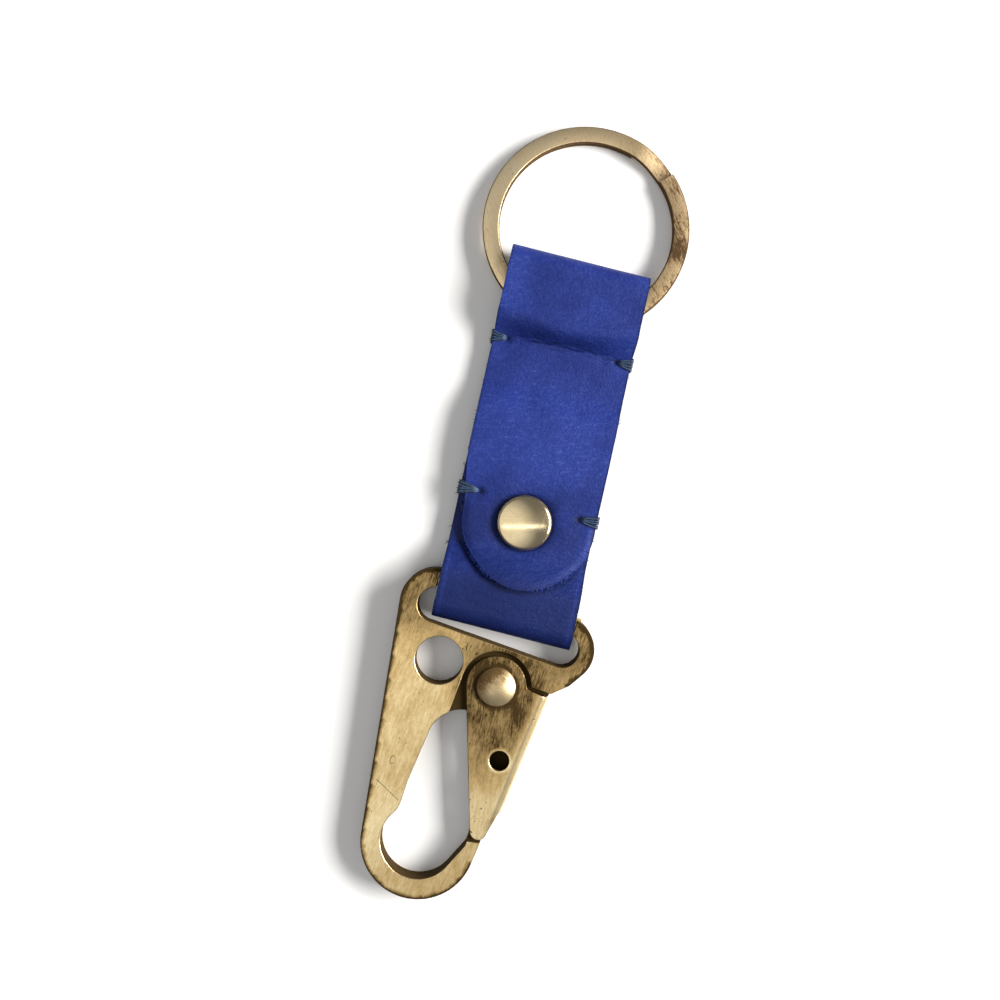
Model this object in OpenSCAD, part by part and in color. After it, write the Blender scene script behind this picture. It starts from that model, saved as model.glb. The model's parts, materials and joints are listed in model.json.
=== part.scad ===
// Carabiner keyring. A leather strip is folded round a split ring at one end and round the bar of
// a cast snap hook at the other. A double cap rivet and four thread tacks hold it together.
// It lies face up: +Y points to the split ring, +Z is up, and the origin is at z = 0 under the
// middle of its outline. Sizes are in millimetres.

/* [Strap] */
// Width of the leather strip
strap_w = 25.4; // [25:0.1:25.6]
// Thickness of the leather
leather_t = 1.4; // [1.3:0.05:1.45]
// Half the length of the folded strap, fold to fold
strap_reach = 33.7; // [33.4:0.1:34]
// Radius of the flap's rounded end
flap_r = 12.3; // [11.5:0.1:12.6]
// Height of the tucked tab's end above the strap's middle
tab_end = 4.5; // [2:0.5:6]
// Distance from the strap's middle up to the line where the ring loop bends
bend_line = 19.9; // [19.8:0.05:20]
// How far the ring loop bends to each side, in degrees
loop_bend = 45; // [20:1:45]

/* [Cap rivet] */
// Diameter of the domed front cap
cap_d = 9.8; // [9:0.1:10]
// Height of the front cap
cap_h = 1.9; // [1.5:0.1:2.5]
// How far the cap is pressed into the leather
cap_sink = 0.2; // [0.1:0.05:0.3]
// Diameter of the flat back cap
back_cap_d = 9; // [7:0.1:9.8]
// Thickness of the back cap
back_cap_h = 0.55; // [0.4:0.05:0.55]
// Diameter of the hollow post
post_d = 3.2; // [3:0.1:4]
// Distance from the strap's middle down to the rivet
rivet_drop = 13.9; // [13.5:0.1:14.3]

/* [Thread tacks] */
// Width of a tack along the strap
tack_w = 2.4; // [1.5:0.1:2.4]
// Thickness of the thread band
thread_t = 0.4; // [0.3:0.05:0.4]
// How far the band stands out from the leather's edge
tack_proud = 0.3; // [0.2:0.05:0.3]

/* [Split ring] */
// Outer diameter of the split ring
ring_d = 37.6; // [37:0.1:37.6]
// Width of its wire, measured along the radius
ring_wire_w = 3; // [2.8:0.1:3]
// Thickness of one coil
coil_t = 0.9; // [0.8:0.05:0.9]
// Distance from the strap's middle up to the ring's centre
ring_rise = 40.3; // [40.3:0.1:40.6]

/* [Snap hook] */
// Thickness of the cast plate
plate_t = 4; // [3.8:0.1:4]
// Length of the strap slot
slot_w = 30.3; // [30:0.1:31]
// Height of the strap slot
slot_h = 6.3; // [6:0.1:6.5]
// Thickness of the bar that the strap is folded round
bar_t = 3; // [2.8:0.1:3]
// Radius of the hook's outer bend
hook_r = 10.3; // [10:0.1:10.6]
// Radius of the hook's seat
seat_r = 6.8; // [6.5:0.1:7]
// Diameter of the round hole beside the gate
side_hole_d = 8.6; // [7:0.1:8.8]
// Turn of the hook from the strap's line as it lies, in degrees
hook_turn = 7.3; // [7:0.1:7.6]

/* [Gate] */
// Thickness of the folded gate across its two cheeks
gate_t = 3.8; // [3.7:0.05:3.8]
// Thickness of its sheet
sheet_t = 0.7; // [0.6:0.05:0.7]
// Radius of the round head at the pivot
head_r = 5.4; // [5:0.1:5.4]
// Outer radius of the folded spine's corners
fold_r = 1.2; // [1:0.1:1.5]
// Diameter of the hole in the front cheek
gate_hole_d = 3.4; // [3:0.1:3.6]
// Diameter of the pivot rivet's shank
shank_d = 3; // [2.5:0.1:3]
// Diameter of the pivot rivet's front head
dome_d = 7; // [6:0.1:7.4]
// Height of the front head
dome_h = 1.5; // [1.2:0.1:1.8]

/* [Hidden] */
$fn = 96;
past = 1;
fit = 0.05;

// Leather layers, counted from the table up
two_layers = 2 * leather_t;
three_layers = 3 * leather_t;
bend_gap = 0.1 + leather_t * tan(loop_bend / 2);

// The bar lies in the lower fold of the strap
bar_v = slot_h / 2 + 1.55;
bar_room = bar_t / 2 + 0.25;
bar_travel = 3.85;
bar_inset = 1.85;
bar_z = leather_t + bar_room;
slot_x = -0.55;
slot_y = -33.05;
bar_x = slot_x + bar_v * sin(hook_turn);
bar_y = slot_y + bar_v * cos(hook_turn);
lower_fold_r = bar_room + leather_t;
lower_fold_y = -strap_reach + lower_fold_r;
fold_top = 2 * lower_fold_r;
ramp_top_y = -24.8;
ramp_foot_y = -19.3;

// The ring lies in the upper fold, with its far side on the table
ring_r = ring_d / 2;
ring_x = -0.5;
coil_gap = 0.05;
ring_t = 2 * coil_t + coil_gap;
ring_edge_y = 31.2;
ring_tilt = atan((leather_t + 0.15) / (ring_rise + ring_r - ring_edge_y));
ring_z = ring_r * sin(ring_tilt) + ring_t / 2 * cos(ring_tilt);
loop_room = 2.75;
upper_fold_r = loop_room / 2 + leather_t;
upper_fold_y = strap_reach - upper_fold_r;
pocket_y = 21.1;

// Points of the snap hook, in its own frame: x along the slot, y up through its middle
hook_c = [-0.6, -41.2];
seat_c = [-0.6, -41];
window_c = [0.6, -22];
window_r = 6;
pivot = [3.2, -10.1];
side_hole_c = [-8, -9.1];
tongue_t = gate_t - 2 * sheet_t - 0.2;
recess_r = 6.3;
recess_foot = -17.5;
shoulder_v = -8.1;
nose_v = -33.3;
nose_reach = 28.2;
hook_tilt = asin((bar_z - plate_t / 2) / (bar_v - hook_c.y + hook_r));

// Gate points in the same frame
gate_hole_c = [8.2, -22.5];
tip_c = [8.95, -35.8];
tip_r = 1.5;
spine_top = [12.66, -9];
spine_foot = [11.7, -31.3];
spine_lean = atan((spine_top.x - spine_foot.x) / (spine_top.y - spine_foot.y));

// Coil spring round the pivot
wire_d = 0.4;
spring_r = 2.35;
spring_pitch = 0.42;
pocket_floor = -0.4;
fixed_leg_a = 208;
free_leg_a = 230;
spring_turns = 2 + (free_leg_a - fixed_leg_a) / 360;

// The origin under the middle of the outline
far_y = ring_rise + ring_r * cos(ring_tilt);
near_y = bar_y - (bar_v - hook_c.y) * cos(hook_turn) - hook_r;
origin_y = (far_y + near_y) / 2;

leather_blue = [0.2, 0.24, 0.55];
thread_blue = [0.08, 0.12, 0.3];
brass = [0.72, 0.6, 0.38];
pale_brass = [0.78, 0.72, 0.58];
spring_steel = [0.5, 0.5, 0.52];

// Moves the strap's frame, whose zero is the strap's middle, to the part's frame
module placed() {
    translate([-ring_x, -origin_y, 0])
        children();
}

// Puts the snap hook's own frame in place: its bar lies in the lower fold, its bend on the table
module hook_placed() {
    placed()
        translate([bar_x, bar_y, bar_z])
            rotate([0, 0, -hook_turn])
                rotate([hook_tilt, 0, 0])
                    translate([0, -bar_v, 0])
                        children();
}

// Sweeps an outline drawn in y and z along the strap's width
module across_strap(width = strap_w) {
    rotate([90, 0, 90])
        linear_extrude(width, center = true)
            children();
}

// Half a disc on the side of +x or, mirrored, on the side of -x
module half_disc(r) {
    intersection() {
        circle(r);
        translate([0, -r])
            square([r, 2 * r]);
    }
}

module slab(thickness) {
    linear_extrude(thickness, center = true)
        children();
}

// Part of a sphere standing on z = 0
module dome(d, h) {
    ball_r = (h * h + d * d / 4) / (2 * h);
    intersection() {
        translate([0, 0, h - ball_r])
            sphere(ball_r);
        cylinder(d = d + past, h = h + past);
    }
}

// A block on the strap's side -1 left or 1 right, between two distances out and two heights
module side_block(side, out, high, width) {
    translate([side * (out[0] + out[1]) / 2, 0, (high[0] + high[1]) / 2])
        cube([out[1] - out[0], width, high[1] - high[0]], center = true);
}

// One thread tack: a band through the leather and round its edge, pulled a little into it
module tack(side, hole_x, y, stack, play = 0) {
    edge = strap_w / 2;
    sunk = 0.3;
    edge_sunk = 0.1;
    translate([0, y, 0])
        difference() {
            side_block(
                side,
                [hole_x - thread_t - play, edge + tack_proud + play],
                [fit - play, stack + 0.25 + play],
                tack_w + 2 * play
            );
            side_block(
                side,
                [hole_x + play, edge - edge_sunk - play],
                [sunk + play, stack - sunk - play],
                tack_w + past
            );
        }
}

module upper_left(play = 0) tack(-1, 9.9, 17.9, two_layers, play);
module upper_right(play = 0) tack(1, 9.9, 17.9, two_layers, play);
module lower_left(play = 0) tack(-1, 8.75, -10, three_layers, play);
module lower_right(play = 0) tack(1, 9.2, -11.2, three_layers, play);

// The strip seen from the side: back layer, fold round the bar, and the tab tucked under the flap
module strip_profile() {
    difference() {
        union() {
            translate([lower_fold_y, lower_fold_r])
                mirror([1, 0])
                    half_disc(lower_fold_r);
            polygon([
                [lower_fold_y, 0],
                [bend_line - bend_gap, 0],
                [bend_line - 0.1, leather_t],
                [bend_line - bend_gap, two_layers],
                [ramp_foot_y, two_layers],
                [ramp_top_y, fold_top],
                [lower_fold_y, fold_top]
            ]);
        }
        translate([lower_fold_y, bar_z])
            circle(bar_room);
        translate([lower_fold_y + bar_travel, bar_z])
            circle(bar_room);
        translate([lower_fold_y, bar_z - bar_room])
            square([bar_travel, 2 * bar_room]);
    }
}

// The top layer seen from the side, from its slope above the tab down to the flap's end
module flap_profile() {
    polygon([
        [tab_end + 6, two_layers],
        [tab_end, three_layers],
        [ramp_foot_y, three_layers],
        [ramp_top_y, fold_top + leather_t],
        [-strap_reach, fold_top + leather_t],
        [-strap_reach, fold_top],
        [ramp_top_y, fold_top],
        [ramp_foot_y, two_layers]
    ]);
}

module flap_outline() {
    flap_c = -rivet_drop + 0.5;
    translate([0, flap_c])
        circle(flap_r);
    polygon([
        [-flap_r, flap_c],
        [flap_r, flap_c],
        [strap_w / 2, flap_c + 8],
        [strap_w / 2, bend_line],
        [-strap_w / 2, bend_line],
        [-strap_w / 2, flap_c + 8]
    ]);
}

module strap() {
    color(leather_blue)
        placed()
            difference() {
                union() {
                    across_strap()
                        strip_profile();
                    intersection() {
                        across_strap()
                            flap_profile();
                        linear_extrude(3 * fold_top)
                            flap_outline();
                    }
                }
                translate([0, -rivet_drop, -past])
                    cylinder(d = post_d + 2 * fit, h = three_layers + 2 * past);
                translate([0, -rivet_drop, three_layers - cap_sink])
                    cylinder(d = cap_d + 2 * fit, h = fold_top);
                translate([0, -rivet_drop, -past])
                    cylinder(d = back_cap_d + 2 * fit, h = past + back_cap_h + fit);
                upper_left(0.02);
                upper_right(0.02);
                lower_left(0.02);
                lower_right(0.02);
            }
}

// The ring loop seen from the side, without its round fold
module loop_profile() {
    loop_top = 2 * upper_fold_r;
    polygon([
        [upper_fold_y, 0],
        [bend_line + bend_gap, 0],
        [bend_line + 0.1, leather_t],
        [bend_line + bend_gap, two_layers],
        [pocket_y - 1, loop_top - 1.2],
        [pocket_y - 0.2, loop_top - 0.3],
        [pocket_y + 1.1, loop_top],
        [upper_fold_y, loop_top]
    ]);
}

// The folded end that holds the ring: it bends where the strip is creased beside the upper tacks
module ring_loop() {
    color(leather_blue)
        placed()
            difference() {
                union() {
                    across_strap()
                        loop_profile();
                    across_strap()
                        translate([upper_fold_y, upper_fold_r])
                            half_disc(upper_fold_r);
                }
                across_strap(strap_w + past)
                    translate([upper_fold_y, upper_fold_r])
                        circle(loop_room / 2);
                across_strap(strap_w + past)
                    translate([pocket_y, leather_t])
                        square([upper_fold_y - pocket_y, loop_room]);
            }
}

// Front half of the cap rivet: the dome and its stud
module rivet_cap() {
    rim = 0.5;
    stud = 2.6;
    color(pale_brass)
        placed()
            translate([0, -rivet_drop, three_layers - cap_sink]) {
                cylinder(d = cap_d, h = rim);
                translate([0, 0, rim])
                    dome(cap_d, cap_h - rim);
                translate([0, 0, -stud])
                    cylinder(r = post_d / 2 - 0.7, h = stud + 0.1);
            }
}

// Back half: the flat cap and the hollow post that takes the stud
module rivet_post() {
    color(pale_brass)
        placed()
            translate([0, -rivet_drop, 0])
                difference() {
                    union() {
                        cylinder(d = back_cap_d, h = back_cap_h);
                        cylinder(d = post_d, h = three_layers - cap_sink - 0.02);
                    }
                    translate([0, 0, 1])
                        cylinder(r = post_d / 2 - 0.65, h = three_layers);
                }
}

module tack_upper_left() color(thread_blue) placed() upper_left();
module tack_upper_right() color(thread_blue) placed() upper_right();
module tack_lower_left() color(thread_blue) placed() lower_left();
module tack_lower_right() color(thread_blue) placed() lower_right();

// A sector of the ring's space, wider than the wire, centred on the height between the coils
module ring_sector(start, sweep, height) {
    rotate([0, 0, start])
        rotate_extrude(angle = sweep)
            translate([ring_r - ring_wire_w - past, -height / 2])
                square([ring_wire_w + 2 * past, height]);
}

// One flat wire in two coils. It climbs from the lower to the upper between their free ends
module split_ring() {
    seam = 46;
    climb = 24;
    climb_l = ring_r * climb * PI / 180;
    color(brass)
        placed()
            translate([ring_x, ring_rise, ring_z])
                rotate([-ring_tilt, 0, 0])
                    difference() {
                        rotate_extrude()
                            translate([ring_r - ring_wire_w, -ring_t / 2])
                                square([ring_wire_w, ring_t]);
                        ring_sector(seam + climb - 1, 362 - climb, coil_gap);
                        difference() {
                            ring_sector(seam, climb, 2 * ring_t);
                            rotate([0, 0, seam + climb / 2])
                                rotate([atan((coil_t + coil_gap) / climb_l), 0, 0])
                                    cube([3 * ring_r, 2 * climb_l, coil_t - 0.1], center = true);
                        }
                    }
}

// Rounded square outline of the bar
module bar_profile() {
    flat = 0.6;
    for (x = [-flat / 2, flat / 2], y = [-flat / 2, flat / 2])
        translate([x, y])
            circle((bar_t - flat) / 2);
    square([bar_t, flat], center = true);
    square([flat, bar_t], center = true);
}

module slot_outline() {
    end_r = slot_h / 2;
    for (side = [-1, 1])
        translate([side * (slot_w / 2 - end_r), 0])
            circle(end_r);
    square([slot_w - slot_h, slot_h], center = true);
}

// The casting's outline before the slot, the window and the gate's room are cut out
module casting_outline() {
    translate([-12.1, 0.2])
        circle(6.3);
    translate([11.9, 0])
        circle(5.9);
    translate(hook_c)
        circle(hook_r);
    polygon([
        [-12.1, 6.4],
        [-18.25, -0.9],
        [-10.74, -43],
        [9.7, -41.6],
        [9.95, -37.3],
        [9.5, -33.3],
        [12.85, -8.05],
        [15.25, -5.8],
        [17, -3],
        [11.9, 5.9]
    ]);
}

// The space inside the hook, from its seat up to the rounded top of the window
module window_outline() {
    translate(window_c)
        circle(window_r);
    translate(seat_c)
        circle(seat_r);
    polygon([
        [window_c.x - window_r, -22],
        [-6, -31.3],
        [-5.85, -35.9],
        [-6.9, -38.4],
        [5.6, -43.3],
        [7.6, -38.9],
        [7.4, nose_v],
        [12, nose_v],
        [12, -22]
    ]);
}

// Where the gate's cheeks lie and swing, sunk into both faces of the plate
module gate_room() {
    translate(pivot)
        circle(recess_r);
    translate([pivot.x - recess_r, recess_foot])
        square([recess_r, pivot.y - recess_foot]);
    translate([pivot.x, nose_v])
        square([20, shoulder_v - nose_v]);
}

// The thin tongue that stands between the gate's cheeks and carries its pivot
module tongue_outline() {
    joined_r = recess_r + 0.3;
    difference() {
        union() {
            translate(pivot)
                circle(5);
            intersection() {
                translate(pivot)
                    circle(joined_r);
                translate([-20, shoulder_v - 0.2])
                    square(40);
            }
            translate([pivot.x - joined_r, recess_foot])
                square([joined_r, 11]);
        }
        translate(window_c)
            circle(window_r);
    }
}

// The thin nose that the gate's tip closes over
module nose_outline() {
    polygon([
        [5.9, -43.1],
        [7.6, -38.9],
        [7.4, -34.2],
        [7.9, -33.4],
        [9, -33.4],
        [9.5, -34.2],
        [9.95, -37.3],
        [9.7, -41.6]
    ]);
}

// Room for the spring's coil, its fixed leg and the leg that follows the gate
module spring_pocket() {
    translate([pivot.x, pivot.y, pocket_floor]) {
        cylinder(r = 2.8, h = tongue_t);
        linear_extrude(tongue_t)
            polygon([
                [0, 0],
                [8 * cos(-40), 8 * sin(-40)],
                [8 * cos(-105), 8 * sin(-105)]
            ]);
        rotate([0, 0, fixed_leg_a - 180])
            translate([-spring_r - wire_d / 2 - 0.1, 0, 0])
                cube([wire_d + 0.2, 4.4, tongue_t]);
    }
}

module hook_body() {
    bar_end = slot_w / 2 - bar_inset;
    color(brass)
        hook_placed()
            difference() {
                union() {
                    slab(plate_t)
                        difference() {
                            casting_outline();
                            slot_outline();
                            window_outline();
                            gate_room();
                            translate([-bar_end, 0])
                                square([2 * bar_end, 10]);
                            intersection() {
                                translate(pivot)
                                    circle(nose_reach);
                                translate([5, -40])
                                    square([10, 10]);
                            }
                        }
                    slab(tongue_t) {
                        tongue_outline();
                        nose_outline();
                    }
                    translate([0, bar_v, 0])
                        rotate([90, 0, 90])
                            slab(2 * bar_end + 0.4)
                                bar_profile();
                }
                translate([side_hole_c.x, side_hole_c.y, 0])
                    cylinder(d = side_hole_d, h = plate_t + past, center = true);
                translate([pivot.x, pivot.y, 0])
                    cylinder(d = shank_d + 2 * fit, h = plate_t + past, center = true);
                spring_pocket();
            }
}

// The gate seen from the front: round head, shoulder, straight spine and round tip
module gate_outline() {
    lean = 21;
    translate(pivot)
        circle(head_r);
    translate(tip_c)
        circle(tip_r);
    polygon([
        pivot - (head_r - 0.1) * [cos(lean), sin(lean)],
        tip_c - (tip_r - 0.1) * [cos(lean), sin(lean)],
        tip_c + [tip_r - 0.1, 0],
        [11.1, spine_foot.y],
        spine_foot,
        spine_top,
        [pivot.x + head_r - 0.3, -8.75],
        pivot
    ]);
}

// Cross-section of the folded sheet's outside, x outward from the spine's outer face
module fold_profile() {
    for (side = [-1, 1])
        translate([-fold_r, side * (gate_t / 2 - fold_r)])
            circle(fold_r);
    translate([-fold_r - past, fold_r - gate_t / 2])
        square([fold_r + past, gate_t - 2 * fold_r]);
    translate([-30 - fold_r, -gate_t / 2])
        square([30, gate_t]);
}

// The channel between the cheeks, open to the left, at the head and past the spine's foot
module channel_outline() {
    inside = [sheet_t, 0];
    polygon([
        [-20, 0],
        spine_top - inside + [0.4, 9],
        spine_foot - inside,
        [20, spine_foot.y],
        [20, -45],
        [-20, -45]
    ]);
}

module gate() {
    color(brass)
        hook_placed()
            difference() {
                intersection() {
                    slab(gate_t)
                        gate_outline();
                    translate([spine_foot.x, spine_foot.y, 0])
                        rotate([-90, 0, -spine_lean])
                            slab(100)
                                fold_profile();
                }
                slab(gate_t - 2 * sheet_t)
                    channel_outline();
                translate([pivot.x, pivot.y, 0])
                    cylinder(d = shank_d + 2 * fit, h = gate_t + past, center = true);
                translate([gate_hole_c.x, gate_hole_c.y, 0])
                    cylinder(d = gate_hole_d, h = gate_t);
            }
}

// Pivot rivet with a high dome in front and a low one behind
module gate_rivet() {
    seat = gate_t / 2 + fit;
    color(pale_brass)
        hook_placed()
            translate([pivot.x, pivot.y, 0]) {
                cylinder(d = shank_d, h = 2 * seat + 0.1, center = true);
                translate([0, 0, seat])
                    dome(dome_d, dome_h);
                translate([0, 0, -seat])
                    rotate([180, 0, 0])
                        dome(dome_d - 0.6, 0.85);
            }
}

// The spring's centre line: each entry is a point and the direction of its outward normal
function spring_coil(start) = [
    for (i = [0 : 36])
        let (turn = spring_turns * i / 36, a = start + 360 * turn)
        [[spring_r * cos(a), spring_r * sin(a), spring_pitch * turn], a]
];
function leg_end(entry, length) =
    let (p = entry[0], a = entry[1])
    [[p.x - length * sin(a), p.y + length * cos(a), p.z], a];
function wire_ring(entry, sides) = [
    for (k = [0 : sides - 1])
        let (b = 360 * k / sides, a = entry[1], r = wire_d / 2)
        entry[0] + r * [cos(b) * cos(a), cos(b) * sin(a), sin(b)]
];

module wire_sweep(path, sides = 8) {
    rings = len(path);
    points = [for (entry = path) each wire_ring(entry, sides)];
    walls = [
        for (i = [0 : rings - 2], k = [0 : sides - 1])
            let (a = i * sides + k, b = i * sides + (k + 1) % sides)
            [a, b, b + sides, a + sides]
    ];
    first = [for (k = [sides - 1 : -1 : 0]) k];
    last = [for (k = [0 : sides - 1]) (rings - 1) * sides + k];
    polyhedron(points, concat(walls, [first, last]));
}

// Torsion spring: one leg in the tongue, the other against the inside of the gate's spine
module gate_spring() {
    coil = spring_coil(fixed_leg_a);
    path = concat(
        [leg_end(coil[0], -3.4)],
        coil,
        [leg_end(coil[len(coil) - 1], 12.3)]
    );
    color(spring_steel)
        hook_placed()
            translate([pivot.x, pivot.y, pocket_floor + wire_d / 2 + fit])
                wire_sweep(path);
}

strap();
ring_loop();
rivet_cap();
rivet_post();
tack_upper_left();
tack_upper_right();
tack_lower_left();
tack_lower_right();
split_ring();
hook_body();
gate();
gate_rivet();
gate_spring();
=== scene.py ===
"""Carabiner keyring on a pale table, seen from straight above."""

import json
import math
import random

import bmesh
import bpy
import numpy as np
from mathutils import Matrix, Vector, geometry, noise


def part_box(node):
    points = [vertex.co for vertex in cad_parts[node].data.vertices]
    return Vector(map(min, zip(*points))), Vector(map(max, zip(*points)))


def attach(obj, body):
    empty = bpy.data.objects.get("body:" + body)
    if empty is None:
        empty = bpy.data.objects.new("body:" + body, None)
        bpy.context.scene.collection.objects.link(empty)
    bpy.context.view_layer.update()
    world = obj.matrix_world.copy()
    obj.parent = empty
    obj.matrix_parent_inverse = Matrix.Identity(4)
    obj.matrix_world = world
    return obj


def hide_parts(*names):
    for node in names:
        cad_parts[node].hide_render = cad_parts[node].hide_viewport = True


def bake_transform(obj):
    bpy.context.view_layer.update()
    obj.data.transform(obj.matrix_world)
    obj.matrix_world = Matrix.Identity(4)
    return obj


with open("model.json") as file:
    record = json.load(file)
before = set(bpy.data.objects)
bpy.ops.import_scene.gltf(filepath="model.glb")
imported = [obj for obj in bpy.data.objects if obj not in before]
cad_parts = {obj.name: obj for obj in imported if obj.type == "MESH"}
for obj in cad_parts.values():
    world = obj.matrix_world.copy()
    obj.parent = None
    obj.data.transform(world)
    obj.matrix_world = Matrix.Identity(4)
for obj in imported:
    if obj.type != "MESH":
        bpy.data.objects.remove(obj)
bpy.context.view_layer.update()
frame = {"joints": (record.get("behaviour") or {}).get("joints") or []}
joints = {j["name"]: j for j in frame["joints"]}

MM = 0.001
TAU = 2 * math.pi

# The strap's own frame: x across, y up to the ring, zero at the middle between its two folds
LEATHER_T = 1.4
HALF_W = 12.7
REACH = 33.7
FOLD_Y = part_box("ring_loop")[1].y / MM
STRAP_C = Vector(((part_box("strap")[0].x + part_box("strap")[1].x) / 2 / MM, FOLD_Y - REACH, 0))

# Radii of the two folds and heights above the table, all to the middle of the leather
RING_FOLD_R = 2.075
BAR_FOLD_R = 2.45
BACK_Z = 0.5 * LEATHER_T
SECOND_Z = 1.5 * LEATHER_T
THIRD_Z = 2.5 * LEATHER_T
RING_TOP_Z = BACK_Z + 2 * RING_FOLD_R
BAR_TOP_Z = BACK_Z + 2 * BAR_FOLD_R

# The flap's round end, and the dip that runs just outside it
FLAP_X = 0.75
FLAP_Y, FLAP_R = -13.6, 11.9
DIP_Y, DIP_R = -13.4, 12.3

# Places along the strap
BEND_Y = joints["ring_loop_bend"]["pos_m"][1] / MM - STRAP_C.y
RING_Y = 40.3
CREASE_Y = 18.1
TAB_END_Y = 4.5
RIVET_Y = -13.9
CAP_R = 4.9
TACKS = {
    "tack_upper_left": (-9.9, 17.9),
    "tack_upper_right": (9.9, 17.9),
    "tack_lower_left": (-8.75, -10.0),
    "tack_lower_right": (9.2, -11.2),
}

# The split ring, in its own frame: z along the joint's axis
RING_R = 18.8
RING_W = 3.0
COIL_T = 0.9

# The snap hook, in its own frame: x along the slot, y up through its middle, z out of its face
BAR_V = 4.7
PLATE_T = 4.0
GATE_T = 3.8
SHEET_T = 0.7
TONGUE_T = 2.2
PIVOT = Vector((3.2, -10.1))


def smooth(low, high, value):
    """0 below low, 1 above high, and a smooth step between."""
    t = np.clip((value - low) / (high - low), 0, 1)
    return t * t * (3 - 2 * t)


def bump(value, width):
    """1 at zero, falling off to both sides over the width."""
    return np.exp(-((value / width) ** 2))


def frame_matrix(origin, x_axis, z_axis):
    """From a piece's own frame in millimetres to the row frame in metres."""
    z = Vector(z_axis).normalized()
    x = Vector(x_axis).normalized()
    y = z.cross(x)
    axes = Matrix((x, y, z)).transposed().to_4x4()
    return Matrix.Translation(origin) @ axes @ Matrix.Scale(MM, 4)


def hook_frame():
    """The hook's frame: the bar gives its place, and the two joints' axes give its directions."""
    across = -Vector(joints["hook_swing"]["axis"])
    out = -Vector(joints["gate_open"]["axis"])
    bar = Vector(joints["hook_swing"]["pos_m"])
    up = out.cross(across).normalized()
    return frame_matrix(bar - up * BAR_V * MM, across, out)


STRAP = Matrix.Translation(STRAP_C * MM) @ Matrix.Scale(MM, 4)
HOOK = hook_frame()
RING = frame_matrix(
    Vector(joints["ring_spin"]["pos_m"]), (1, 0, 0), joints["ring_spin"]["axis"]
)


# ---------------------------------------------------------------- materials


class Nodes:
    """A material's node tree, with short calls to add and link nodes."""

    def __init__(self, name):
        self.material = bpy.data.materials.new(name)
        self.material.use_nodes = True
        self.tree = self.material.node_tree
        self.shader = self.tree.nodes["Principled BSDF"]
        self.place = self.add("ShaderNodeTexCoord").outputs["Object"]

    def add(self, kind, **values):
        node = self.tree.nodes.new(kind)
        for key, value in values.items():
            setattr(node, key, value)
        return node

    def link(self, source, target):
        self.tree.links.new(source, target)

    def stretched(self, stretch, turn=0.0):
        """Coordinates in which a pattern is drawn out along y, after a turn about z in degrees."""
        mapping = self.add("ShaderNodeMapping", vector_type="TEXTURE")
        mapping.inputs["Scale"].default_value = (1, stretch, 1)
        mapping.inputs["Rotation"].default_value = (0, 0, math.radians(turn))
        self.link(self.place, mapping.inputs["Vector"])
        return mapping.outputs["Vector"]

    def noise(self, scale, detail=4, rough=0.55, vector=None):
        node = self.add("ShaderNodeTexNoise")
        node.inputs["Scale"].default_value = scale
        node.inputs["Detail"].default_value = detail
        node.inputs["Roughness"].default_value = rough
        self.link(vector or self.place, node.inputs["Vector"])
        return node.outputs["Fac"]

    def cells(self, scale):
        node = self.add("ShaderNodeTexVoronoi")
        node.inputs["Scale"].default_value = scale
        self.link(self.place, node.inputs["Vector"])
        return node.outputs["Distance"]

    def ramp(self, value, *stops):
        """A colour or grey for a value, from (position, colour) stops."""
        node = self.add("ShaderNodeValToRGB")
        ramp = node.color_ramp
        while len(ramp.elements) < len(stops):
            ramp.elements.new(0.5)
        for element, (where, colour) in zip(ramp.elements, stops):
            element.position = where
            grey = isinstance(colour, (int, float))
            element.color = (colour, colour, colour, 1) if grey else (*colour, 1)
        self.link(value, node.inputs["Fac"])
        return node.outputs["Color"]

    def mix(self, share, first, second):
        """A colour between two, each of them and the share a socket or a constant."""
        node = self.add("ShaderNodeMix", data_type="RGBA")
        for socket, value in ((0, share), (6, first), (7, second)):
            if isinstance(value, bpy.types.NodeSocket):
                self.link(value, node.inputs[socket])
            elif isinstance(value, (int, float)):
                node.inputs[socket].default_value = value
            else:
                node.inputs[socket].default_value = (*value, 1)
        return node.outputs[2]

    def maths(self, operation, *values):
        node = self.add("ShaderNodeMath", operation=operation)
        for socket, value in enumerate(values):
            if isinstance(value, bpy.types.NodeSocket):
                self.link(value, node.inputs[socket])
            else:
                node.inputs[socket].default_value = value
        return node.outputs[0]

    def attribute(self, name):
        return self.add("ShaderNodeAttribute", attribute_name=name).outputs["Fac"]

    def raise_by(self, height, distance, strength=1.0, below=None):
        """A bumped normal, on top of another if one is given."""
        node = self.add("ShaderNodeBump")
        node.inputs["Distance"].default_value = distance
        node.inputs["Strength"].default_value = strength
        self.link(height, node.inputs["Height"])
        if below:
            self.link(below, node.inputs["Normal"])
        return node.outputs["Normal"]

    def finish(self, colour, roughness, normal):
        self.link(colour, self.shader.inputs["Base Color"])
        self.link(roughness, self.shader.inputs["Roughness"])
        self.link(normal, self.shader.inputs["Normal"])
        return self.material


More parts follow.
